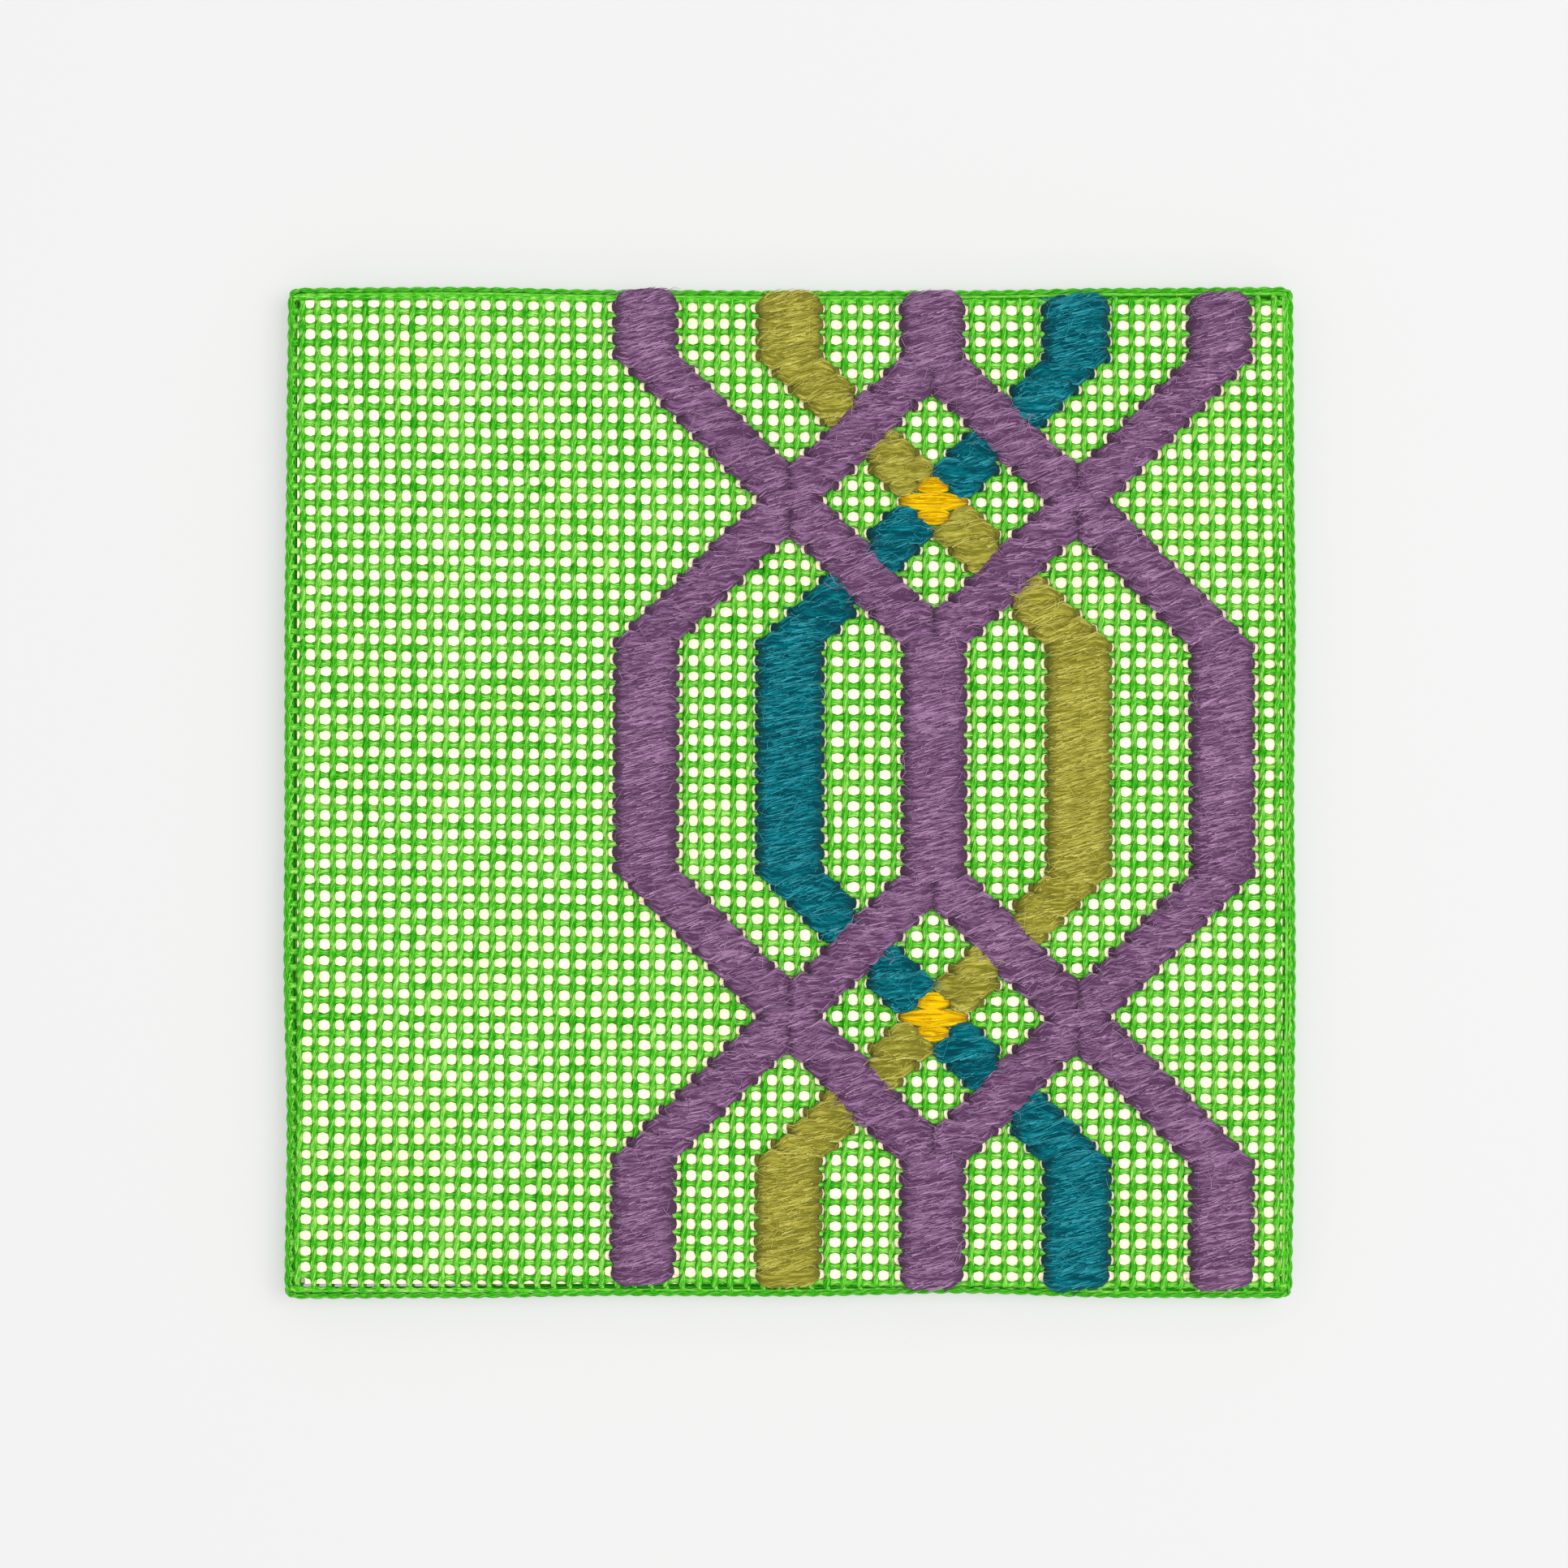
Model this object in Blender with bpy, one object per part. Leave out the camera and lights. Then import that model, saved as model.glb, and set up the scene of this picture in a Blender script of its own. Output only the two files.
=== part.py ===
# Embroidered canvas panel lying on its back, face up (+Z).
# Open interlock canvas of ten holes to the inch is folded round a thin white board, and long
# horizontal wool stitches form a crossing trellis on its front. Metres; the origin is under the
# middle of the panel, on the plane that it lies on.

import math

import bmesh
import bpy

# Driving dimensions
MM = 0.001
half_size = 79.8 * MM          # from the middle to an edge of the folded canvas
canvas_thick = 1.0 * MM
bend_radius = 1.6 * MM         # outside of the fold along each edge
return_width = 12.0 * MM       # canvas turned in on the back, from the edge
gap = 0.3 * MM                 # clear space between pieces
board_thick = 3.0 * MM
board_width = 156.4 * MM
board_length = 156.1 * MM
board_middle = (-0.15 * MM, 0.2 * MM)   # it sits a little up and to the left inside the fold
board_corner = 1.2 * MM
panel_height = 2 * canvas_thick + 2 * gap + board_thick

# The weave: hole column k and row j, counted right and down, turned a little on the board
hole_step_x = 2.5351 * MM
hole_step_y = 2.5450 * MM
row_drift = 0.0354 * MM        # a row falls by this much for each column
column_drift = 0.0115 * MM     # a column moves left by this much for each row
first_hole = (-28.217 * MM, 8.534 * MM)

# The stitches
stitch_cells = 4               # a full stitch reaches over four canvas threads
bar_pitch = 9                  # columns between the upright bars, and rows of each slope
first_row = -28
last_row = 33
crossing_rows = (-15, 17)
middle_row = 1
bend_strips = 4                # the first row rolls over the top edge, in this many strips
bar_centre = 18
yarn_edge = 0.75 * MM          # height over the canvas at a stitch end
yarn_crown = 1.45 * MM         # and in its middle
yarn_inset = 0.17 * MM         # half the space left between neighbouring colours

# How far each edge of the folded canvas swells out (+) or is drawn in (-), in millimetres,
# at seven places from left to right, or from bottom to top
edge_swell = {
    "top": (0.20, 0.35, -0.10, -0.25, -0.20, 0.20, 0.35),
    "bottom": (0.20, 0.10, -0.25, -0.15, -0.65, 0.05, 0.10),
    "left": (0.35, 0.00, 0.50, 0.35, 0.35, 0.05, -0.20),
    "right": (-0.45, -0.10, 0.10, -0.15, 0.10, -0.15, -0.30),
}
corner_radius = {"top_right": 1.4, "top_left": 2.3, "bottom_left": 1.1, "bottom_right": 2.1}

colours = {
    "canvas": (0.118, 0.565, 0.042),
    "board": (0.93, 0.90, 0.84),
    "purple": (0.223, 0.112, 0.216),
    "olive": (0.371, 0.337, 0.056),
    "teal": (0.010, 0.168, 0.205),
    "yellow": (0.888, 0.533, 0.003),
}


def clear_scene():
    for thing in list(bpy.data.objects):
        bpy.data.objects.remove(thing)


def make_material(name, roughness):
    material = bpy.data.materials.new(name)
    material.use_nodes = True
    shader = material.node_tree.nodes["Principled BSDF"]
    shader.inputs["Base Color"].default_value = (*colours[name], 1.0)
    shader.inputs["Roughness"].default_value = roughness
    return material


def add_object(name, bm, material):
    mesh = bpy.data.meshes.new(name)
    bm.to_mesh(mesh)
    bm.free()
    mesh.materials.append(material)
    item = bpy.data.objects.new(name, mesh)
    bpy.context.collection.objects.link(item)
    return item


def swell_at(side, along):
    """Swelling of an edge at a place along it, from a smooth curve through its seven values."""
    values = edge_swell[side]
    place = (along / half_size + 1.0) / 2.0 * (len(values) - 1)
    place = min(max(place, 0.0), len(values) - 1.001)
    left = int(place)
    blend = (1.0 - math.cos(math.pi * (place - left))) / 2.0
    return (values[left] * (1.0 - blend) + values[left + 1] * blend) * MM


def canvas_ring(inset, height):
    """Corners and sides of the folded canvas, a given inset from its outline."""
    side_points = 13
    corner_points = 3
    fade = max(0.0, 1.0 - inset / return_width)
    radius = {name: max(value * MM - inset, 0.12 * MM) for name, value in corner_radius.items()}
    reach = half_size - inset
    points = []
    walk = (
        ("right", "bottom_right", "top_right", 0),
        ("top", "top_right", "top_left", 1),
        ("left", "top_left", "bottom_left", 2),
        ("bottom", "bottom_left", "bottom_right", 3),
    )
    for side, start_corner, end_corner, quarter in walk:
        turn = quarter * math.pi / 2.0
        outward = (math.cos(turn), math.sin(turn))
        along = (-math.sin(turn), math.cos(turn))
        start = -reach + radius[start_corner]
        end = reach - radius[end_corner]
        for number in range(side_points):
            place = start + (end - start) * number / (side_points - 1)
            measured = place * (along[0] + along[1])
            edge_fade = min(1.0, (reach - abs(place)) / (6.0 * MM))
            out = reach + swell_at(side, measured) * fade * edge_fade
            points.append((outward[0] * out + along[0] * place,
                           outward[1] * out + along[1] * place, height))
        centre_out = reach - radius[end_corner]
        for number in range(1, corner_points + 1):
            angle = turn + math.pi / 2.0 * number / (corner_points + 1)
            centre_x = outward[0] * centre_out + along[0] * centre_out
            centre_y = outward[1] * centre_out + along[1] * centre_out
            points.append((centre_x + radius[end_corner] * math.cos(angle),
                           centre_y + radius[end_corner] * math.sin(angle), height))
    return points


def canvas_profile():
    """Inset and height along the cloth's outside, round the turned-in edge and back inside."""
    inner = bend_radius - canvas_thick
    top = panel_height - bend_radius
    profile = []
    for step in range(4):
        angle = math.pi / 2.0 * step / 3
        profile.append((bend_radius * (1 - math.sin(angle)), top + bend_radius * math.cos(angle)))
    for step in range(4):
        angle = math.pi / 2.0 * step / 3
        profile.append((bend_radius * (1 - math.cos(angle)), bend_radius * (1 - math.sin(angle))))
    profile.append((return_width, 0.0))
    profile.append((return_width, canvas_thick))
    for step in range(3):
        angle = math.pi / 2.0 * (1 - step / 2)
        profile.append((bend_radius - inner * math.cos(angle),
                        bend_radius - inner * math.sin(angle)))
    for step in range(3):
        angle = math.pi / 2.0 * step / 2
        profile.append((bend_radius - inner * math.cos(angle), top + inner * math.sin(angle)))
    return profile


def make_canvas():
    bm = bmesh.new()
    rings = []
    for inset, height in canvas_profile():
        rings.append([bm.verts.new(point) for point in canvas_ring(inset, height)])
    for upper, lower in zip(rings, rings[1:]):
        count = len(upper)
        for place in range(count):
            after = (place + 1) % count
            bm.faces.new((upper[place], lower[place], lower[after], upper[after]))
    for ring in (rings[0], rings[-1]):
        bm.faces.new(ring)
    bmesh.ops.recalc_face_normals(bm, faces=bm.faces)
    return add_object("canvas", bm, make_material("canvas", 0.85))


def make_board():
    """Thin white board that the canvas is folded round, with eased corners."""
    bm = bmesh.new()
    bmesh.ops.create_cube(bm, size=1.0)
    bmesh.ops.scale(bm, vec=(board_width, board_length, board_thick), verts=bm.verts)
    uprights = [edge for edge in bm.edges
                if abs(edge.verts[0].co.z - edge.verts[1].co.z) > board_thick / 2]
    bmesh.ops.bevel(bm, geom=uprights, offset=board_corner, segments=3, affect="EDGES")
    middle = canvas_thick + gap + board_thick / 2
    bmesh.ops.translate(bm, vec=(*board_middle, middle), verts=bm.verts)
    return add_object("board", bm, make_material("board", 0.6))


def purple_spans(row):
    """Purple stitches of one row, as pairs of hole columns."""
    distance = min(abs(row - crossing) for crossing in crossing_rows)
    slope = min(distance, bar_pitch)
    if slope == 1:
        return [(8, 11), (11, 14), (26, 29), (29, 32)]
    if slope == 8:
        return [(1, 5), (17, 20), (20, 23), (35, 39)]
    starts = {bar_pitch - slope, bar_pitch + slope, 3 * bar_pitch - slope, 3 * bar_pitch + slope}
    return [(start, start + stitch_cells) for start in sorted(starts)]


def cut_spans(span, covers):
    """What is left of a span beside the spans that cover it."""
    left_over = [span]
    for low, high in covers:
        pieces = []
        for start, end in left_over:
            if start < min(end, low):
                pieces.append((start, min(end, low)))
            if max(start, high) < end:
                pieces.append((max(start, high), end))
        left_over = pieces
    return left_over


def row_stitches(row):
    """All stitches of one row: colour, first hole and last hole."""
    purple = purple_spans(row)
    distance = min(abs(row - crossing) for crossing in crossing_rows)
    yellow = {0: [(bar_centre, bar_centre + stitch_cells)],
              1: [(bar_centre + 1, bar_centre + stitch_cells - 1)]}.get(distance, [])
    sway = row - crossing_rows[0] if row < middle_row else crossing_rows[1] - row
    sway = max(-bar_pitch, min(bar_pitch, sway))
    found = [("purple", *span) for span in purple] + [("yellow", *span) for span in yellow]
    for colour, start in (("olive", bar_centre + sway), ("teal", bar_centre - sway)):
        for span in cut_spans((start, start + stitch_cells), purple + yellow):
            found.append((colour, *span))
    return found


def row_strips():
    """Each row as one strip of stitching, and the row on the top edge as several narrow ones."""
    strips = [first_row] * bend_strips
    strips.extend(range(first_row + 1, last_row + 1))
    edges = [first_row - 0.5 + step / bend_strips for step in range(bend_strips)]
    edges.extend(row - 0.5 for row in range(first_row + 1, last_row + 2))
    return strips, edges


def hole_place(column, row):
    x = first_hole[0] + hole_step_x * column - column_drift * row
    y = first_hole[1] - row_drift * column - hole_step_y * row
    return x, y


def over_canvas(x, y, height):
    """A point at a height over the canvas, which bends down along its top edge."""
    bend_start = half_size + swell_at("top", x) - bend_radius
    if y <= bend_start:
        return x, y, panel_height + height
    angle = (y - bend_start) / bend_radius
    reach = bend_radius + height
    return (x, bend_start + reach * math.sin(angle),
            panel_height - bend_radius + reach * math.cos(angle))


def connected_groups(cells):
    """Cells that share an edge, gathered into separate patches of stitching."""
    waiting = set(cells)
    groups = []
    while waiting:
        group = {min(waiting)}
        waiting -= group
        fresh = set(group)
        while fresh:
            beside = set()
            for column, strip in fresh:
                beside |= {(column + 1, strip), (column - 1, strip),
                           (column, strip + 1), (column, strip - 1)}
            fresh = beside & waiting
            waiting -= fresh
            group |= fresh
        groups.append(group)
    return sorted(groups, key=lambda group: (min(cell[1] for cell in group), min(group)))


def crown_height(column, spans):
    """Height of a long stitch where it passes a hole column: low at its ends, full between."""
    best = 0.0
    for start, end in spans:
        if start < column < end:
            run = 2.0 * (column - start) / (end - start) - 1.0
            size = 0.72 + 0.28 * min(1.0, (end - start) / stitch_cells)
            best = max(best, size * (1.0 - abs(run) ** 3))
    return best


def make_stitching(name, cells, spans, edges, material):
    """One patch of stitching: its strips' crowned top, a flat underside and stepped sides."""
    bm = bmesh.new()
    corners = {}
    for column, strip in cells:
        for corner in ((column, strip), (column + 1, strip),
                       (column, strip + 1), (column + 1, strip + 1)):
            corners.setdefault(corner, []).append((column, strip))
    tops = {}
    bottoms = {}
    for (column, strip), owners in corners.items():
        filled = {(owner[0] - column, owner[1] - strip) for owner in owners}
        push_x = 0.0
        push_y = 0.0
        rim = len(filled) < 4
        if rim:
            right = {cell for cell in filled if cell[0] == 0}
            below = {cell for cell in filled if cell[1] == 0}
            if len(right) != len(filled) - len(right):
                push_x = 1.0 if len(right) > len(filled) - len(right) else -1.0
            if len(below) != len(filled) - len(below):
                push_y = -1.0 if len(below) > len(filled) - len(below) else 1.0
        x, y = hole_place(column, edges[strip])
        x += push_x * yarn_inset
        y += push_y * yarn_inset
        crowns = [crown_height(column, spans.get(near, [])) for near in (strip - 1, strip)]
        wave = 1.0 + 0.07 * math.sin(1.9 * edges[strip] + 0.8 * column)
        rise = sum(crowns) / 2.0 * (0.5 if rim else 1.0) * wave
        height = yarn_edge + (yarn_crown - yarn_edge) * rise
        tops[(column, strip)] = bm.verts.new(over_canvas(x, y, height))
        bottoms[(column, strip)] = bm.verts.new(over_canvas(x, y, gap))
    around = ((0, 1), (1, 1), (1, 0), (0, 0))
    beyond = ((0, 1), (1, 0), (0, -1), (-1, 0))
    for column, strip in cells:
        ring = [(column + step_x, strip + step_y) for step_x, step_y in around]
        bm.faces.new([tops[corner] for corner in ring])
        bm.faces.new([bottoms[corner] for corner in reversed(ring)])
        for number, (step_x, step_y) in enumerate(beyond):
            if (column + step_x, strip + step_y) in cells:
                continue
            here = ring[number]
            after = ring[(number + 1) % 4]
            bm.faces.new((tops[after], tops[here], bottoms[here], bottoms[after]))
    bmesh.ops.recalc_face_normals(bm, faces=bm.faces)
    return add_object(name, bm, material)


def make_embroidery():
    cells = {colour: set() for colour in ("purple", "olive", "teal", "yellow")}
    spans = {colour: {} for colour in cells}
    strips, edges = row_strips()
    for strip, row in enumerate(strips):
        for colour, start, end in row_stitches(row):
            spans[colour].setdefault(strip, []).append((start, end))
            cells[colour] |= {(column, strip) for column in range(start, end)}
    for colour in cells:
        material = make_material(colour, 0.9)
        for number, group in enumerate(connected_groups(cells[colour]), start=1):
            name = f"{colour}_stitches_{number}"
            make_stitching(name, group, spans[colour], edges, material)


def main():
    clear_scene()
    make_board()
    make_canvas()
    make_embroidery()


main()
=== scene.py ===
import math

import bmesh
import bpy
import numpy as np
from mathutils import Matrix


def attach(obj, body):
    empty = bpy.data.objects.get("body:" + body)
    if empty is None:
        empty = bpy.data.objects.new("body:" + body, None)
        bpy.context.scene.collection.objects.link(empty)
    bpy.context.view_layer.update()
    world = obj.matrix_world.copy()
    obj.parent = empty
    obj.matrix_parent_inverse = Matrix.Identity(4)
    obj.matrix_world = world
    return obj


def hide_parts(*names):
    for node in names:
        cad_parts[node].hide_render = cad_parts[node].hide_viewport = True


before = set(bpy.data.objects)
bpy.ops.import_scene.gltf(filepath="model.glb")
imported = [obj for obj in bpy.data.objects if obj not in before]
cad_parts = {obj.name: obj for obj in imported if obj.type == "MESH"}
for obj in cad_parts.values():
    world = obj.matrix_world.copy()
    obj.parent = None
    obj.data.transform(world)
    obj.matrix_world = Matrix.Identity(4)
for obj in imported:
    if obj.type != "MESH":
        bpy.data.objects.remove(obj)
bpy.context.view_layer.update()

# Embroidered canvas panel seen straight from above: threads, wool and board are real geometry.
# Lengths are in metres; mm turns a value in millimetres into them.
mm = 0.001

# The folded canvas, as the CAD source builds it
panel = {
    "halfSize": 79.8 * mm,
    "bend": 1.6 * mm,                 # radius of the fold along each edge, outside
    "height": 5.6 * mm,
    "turning": 12.0 * mm,             # cloth turned in on the back
    "bendSaving": 1.4 * mm,           # what the two bends save of the flat cloth on each side
    "holeStepX": 2.5351 * mm,
    "holeStepY": 2.5450 * mm,
    "rowDrift": 0.0354 * mm,          # the weave lies a little turned on the board
    "columnDrift": 0.0115 * mm,
    "firstHole": (-28.217 * mm, 8.534 * mm),
    # swelling of each edge at seven places, left to right or bottom to top, in millimetres
    "swell": {
        "top": (0.20, 0.35, -0.10, -0.25, -0.20, 0.20, 0.35),
        "bottom": (0.20, 0.10, -0.25, -0.15, -0.65, 0.05, 0.10),
        "left": (0.35, 0.00, 0.50, 0.35, 0.35, 0.05, -0.20),
        "right": (-0.45, -0.10, 0.10, -0.15, 0.10, -0.15, -0.30),
    },
    # slow bow of the weave, in millimetres, as measured: the weights of the terms in holePlace
    "bowX": (0.201, 0.101, 0.338, 0.013, 0.342, -0.346, 0.0),
    "bowY": (0.293, 0.238, -0.252, 0.138, -0.102, -0.277, 0.148),
    "bowMiddle": (21, 3),             # column and row
    "bowReach": (30, 31),             # columns and rows from there, past which it stays the same
    "stepColumn": 28,                 # the rows step down a little here
    "stepWidth": 3,
}


def linear(red, green, blue):
    # a screen colour of 0 to 255 as Blender's linear one
    parts = []
    for value in (red, green, blue):
        value /= 255.0
        parts.append(value / 12.92 if value <= 0.04045 else ((value + 0.055) / 1.055) ** 2.4)
    return (*parts, 1.0)


def swellAlong(side, along):
    # how far an edge stands out past the square, smooth between its seven values
    values = np.array(panel["swell"][side])
    place = np.clip((along / panel["halfSize"] + 1.0) / 2.0, 0.0, 0.9999) * (len(values) - 1)
    left = place.astype(int)
    blend = (1.0 - np.cos(math.pi * (place - left))) / 2.0
    return (values[left] * (1.0 - blend) + values[left + 1] * blend) * mm


def holePlace(column, row):
    # flat place of a hole of the weave; fractions fall on the threads between holes
    x = panel["firstHole"][0] + panel["holeStepX"] * column - panel["columnDrift"] * row
    y = panel["firstHole"][1] - panel["rowDrift"] * column - panel["holeStepY"] * row
    middleColumn, middleRow = panel["bowMiddle"]
    reachColumns, reachRows = panel["bowReach"]
    across = np.clip((column - middleColumn) / reachColumns, -1.0, 1.0)
    down = np.clip((row - middleRow) / reachRows, -1.0, 1.0)
    step = np.tanh((column - panel["stepColumn"]) / panel["stepWidth"])
    terms = (1.0, across, down, across ** 2, across * down, down ** 2, step)
    x = x + mm * sum(part * term for part, term in zip(panel["bowX"], terms))
    y = y + mm * sum(part * term for part, term in zip(panel["bowY"], terms))
    return x, y


def foldOver(x, y, lift):
    # wraps flat places of the cloth round the board: front, bend, side wall, bend, turning
    bend = panel["bend"]
    wall = panel["height"] - 2 * bend
    quarter = bend * math.pi / 2
    edgeX = panel["halfSize"] - bend + np.where(x > 0, swellAlong("right", y), swellAlong("left", y))
    edgeY = panel["halfSize"] - bend + np.where(y > 0, swellAlong("top", x), swellAlong("bottom", x))
    overX = np.abs(x) - edgeX
    overY = np.abs(y) - edgeY
    outX = np.maximum(overX, 0.0)
    outY = np.maximum(overY, 0.0)
    down = np.maximum(outX, outY)
    corner = (math.pi / 4) * np.minimum(outX, outY) / np.maximum(down, 1e-9)
    alongX = outX >= outY
    wayX = np.where(alongX, np.cos(corner), np.sin(corner)) * np.sign(x) * (down > 0)
    wayY = np.where(alongX, np.sin(corner), np.cos(corner)) * np.sign(y) * (down > 0)
    turned = np.clip(down / bend, 0, math.pi / 2)
    turned += np.clip((down - quarter - wall) / bend, 0, math.pi / 2)
    inward = np.maximum(down - 2 * quarter - wall, 0.0)
    drop = np.clip(down - quarter, 0, wall)
    out = bend * np.sin(turned) - inward
    height = panel["height"] - bend - drop + bend * np.cos(turned)
    normal = np.stack([wayX * np.sin(turned), wayY * np.sin(turned), np.cos(turned)], axis=-1)
    place = np.stack([np.clip(x, -edgeX, edgeX) + wayX * out,
                      np.clip(y, -edgeY, edgeY) + wayY * out, height], axis=-1)
    place += normal * np.asarray(lift)[..., None]
    reach = 2 * quarter + wall + panel["turning"] - bend
    mitred = (inward > 0) & (np.minimum(overX, overY) > -inward)
    return place, normal, (down <= reach) & ~mitred, overX, overY


# What all threads and hairs share
fibreFinish = {
    "tip": 0.35,                      # width of a hair's tip, of its full width
    "sheenRoughness": 0.5,
    "noiseDetail": 3.0,
    "noiseRoughness": 0.65,
    "bumpDepth": 0.15 * mm,
}


class StrandStore:
    # gathers many closed tubes and flat hairs, and makes them one mesh with fibre attributes
    def __init__(self):
        self.points = []
        self.fibres = []
        self.tones = []
        self.quads = []
        self.caps = []
        self.count = 0

    def addTube(self, places, outward, radius, sides, tone, seed, flatten=1.0):
        # the seed shifts the noise of its material, so that no two look alike
        along = np.gradient(places, axis=0)
        along /= np.linalg.norm(along, axis=1)[:, None] + 1e-12
        side = np.cross(along, outward)
        side /= np.linalg.norm(side, axis=1)[:, None] + 1e-12
        up = np.cross(side, along)
        turns = math.pi / 2 + np.arange(sides) * 2 * math.pi / sides
        ring = (np.cos(turns)[None, :, None] * side[:, None, :]
                + np.sin(turns)[None, :, None] * up[:, None, :] * flatten)
        radius = np.broadcast_to(radius, (len(places),))
        points = places[:, None, :] + ring * radius[:, None, None]
        steps = np.linalg.norm(np.diff(places, axis=0), axis=1)
        walked = np.concatenate([[0.0], np.cumsum(steps)]) / mm
        fibre = np.empty((len(places), sides, 3))
        fibre[:, :, 0] = walked[:, None] + seed * 37.0
        fibre[:, :, 1] = np.cos(turns)[None, :] + seed * 11.0
        fibre[:, :, 2] = np.sin(turns)[None, :] + seed * 5.0
        rings = self.count + np.arange(len(places) * sides).reshape(len(places), sides)
        after = np.roll(rings, -1, axis=1)
        self.quads.append(np.stack([rings[:-1], after[:-1], after[1:], rings[1:]],
                                   axis=-1).reshape(-1, 4))
        self.caps.append((rings[0][::-1].tolist(), rings[-1].tolist()))
        self.points.append(points.reshape(-1, 3))
        self.fibres.append(fibre.reshape(-1, 3))
        self.tones.append(np.repeat(np.broadcast_to(tone, (len(places),)), sides))
        self.count += len(places) * sides

    def addHair(self, places, width, tone, seed):
        # a ribbon that lies flat and narrows to its tip
        along = np.gradient(places, axis=0)
        side = np.stack([-along[:, 1], along[:, 0], np.zeros(len(places))], axis=-1)
        side /= np.linalg.norm(side, axis=1)[:, None] + 1e-12
        taper = np.linspace(1.0, fibreFinish["tip"], len(places))[:, None]
        points = np.stack([places - side * width * taper / 2, places + side * width * taper / 2], axis=1)
        rows = self.count + np.arange(len(places) * 2).reshape(-1, 2)
        self.quads.append(np.stack([rows[:-1, 0], rows[1:, 0], rows[1:, 1], rows[:-1, 1]], axis=-1))
        self.points.append(points.reshape(-1, 3))
        self.fibres.append(np.full((len(places) * 2, 3), seed * 37.0))
        self.tones.append(np.full(len(places) * 2, tone))
        self.count += len(places) * 2

    def makeObject(self, name, material):
        points = np.concatenate(self.points)
        quads = np.concatenate(self.quads)
        capLoops = [corner for pair in self.caps for cap in pair for corner in cap]
        capSizes = [len(cap) for pair in self.caps for cap in pair]
        loops = np.concatenate([quads.ravel(), np.array(capLoops, dtype=np.int64)]).astype(np.int32)
        sizes = np.concatenate([np.full(len(quads), 4), np.array(capSizes, dtype=np.int64)])
        starts = np.concatenate([[0], np.cumsum(sizes)[:-1]])
        mesh = bpy.data.meshes.new(name)
        mesh.vertices.add(len(points))
        mesh.vertices.foreach_set("co", points.astype(np.float32).ravel())
        mesh.loops.add(len(loops))
        mesh.loops.foreach_set("vertex_index", loops)
        mesh.polygons.add(len(sizes))
        mesh.polygons.foreach_set("loop_start", starts.astype(np.int32))
        mesh.polygons.foreach_set("use_smooth", np.ones(len(sizes), dtype=bool))
        mesh.update(calc_edges=True)
        fibre = mesh.attributes.new("fibre", "FLOAT_VECTOR", "POINT")
        fibre.data.foreach_set("vector", np.concatenate(self.fibres).astype(np.float32).ravel())
        tone = mesh.attributes.new("tone", "FLOAT", "POINT")
        tone.data.foreach_set("value", np.concatenate(self.tones).astype(np.float32))
        mesh.materials.append(material)
        item = bpy.data.objects.new(name, mesh)
        bpy.context.collection.objects.link(item)
        triangles = int((sizes - 2).sum())
        print(f"{name}: {triangles} triangles")
        return item


def fibreMaterial(name, look):
    # spun fibre: streaks along the strand between a dark, a middle and a light shade
    material = bpy.data.materials.new(name)
    material.use_nodes = True
    nodes = material.node_tree.nodes
    links = material.node_tree.links
    shader = nodes["Principled BSDF"]
    shader.inputs["Roughness"].default_value = look["roughness"]
    shader.inputs["Specular IOR Level"].default_value = look["gloss"]
    shader.inputs["Sheen Weight"].default_value = look["sheen"]
    shader.inputs["Sheen Roughness"].default_value = fibreFinish["sheenRoughness"]
    fibre = nodes.new("ShaderNodeAttribute")
    fibre.attribute_name = "fibre"
    mapping = nodes.new("ShaderNodeMapping")
    mapping.inputs["Scale"].default_value = look["streakScale"]
    links.new(fibre.outputs["Vector"], mapping.inputs["Vector"])
    streaks = nodes.new("ShaderNodeTexNoise")
    streaks.inputs["Scale"].default_value = 1.0
    streaks.inputs["Detail"].default_value = fibreFinish["noiseDetail"]
    streaks.inputs["Roughness"].default_value = fibreFinish["noiseRoughness"]
    links.new(mapping.outputs["Vector"], streaks.inputs["Vector"])
    tone = nodes.new("ShaderNodeAttribute")
    tone.attribute_name = "tone"
    total = nodes.new("ShaderNodeMath")
    total.operation = "ADD"
    links.new(streaks.outputs["Fac"], total.inputs[0])
    links.new(tone.outputs["Fac"], total.inputs[1])
    ramp = nodes.new("ShaderNodeValToRGB")
    ramp.color_ramp.elements[0].position = 0.5 - look["spread"] / 2
    ramp.color_ramp.elements[0].color = linear(*look["dark"])
    ramp.color_ramp.elements[1].position = 0.5 + look["spread"] / 2
    ramp.color_ramp.elements[1].color = linear(*look["light"])
    middle = ramp.color_ramp.elements.new(0.5)
    middle.color = linear(*look["middle"])
    links.new(total.outputs[0], ramp.inputs["Fac"])
    links.new(ramp.outputs["Color"], shader.inputs["Base Color"])
    bump = nodes.new("ShaderNodeBump")
    bump.inputs["Strength"].default_value = look["bump"]
    bump.inputs["Distance"].default_value = fibreFinish["bumpDepth"]
    links.new(streaks.outputs["Fac"], bump.inputs["Height"])
    links.new(bump.outputs["Normal"], shader.inputs["Normal"])
    return material


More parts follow.
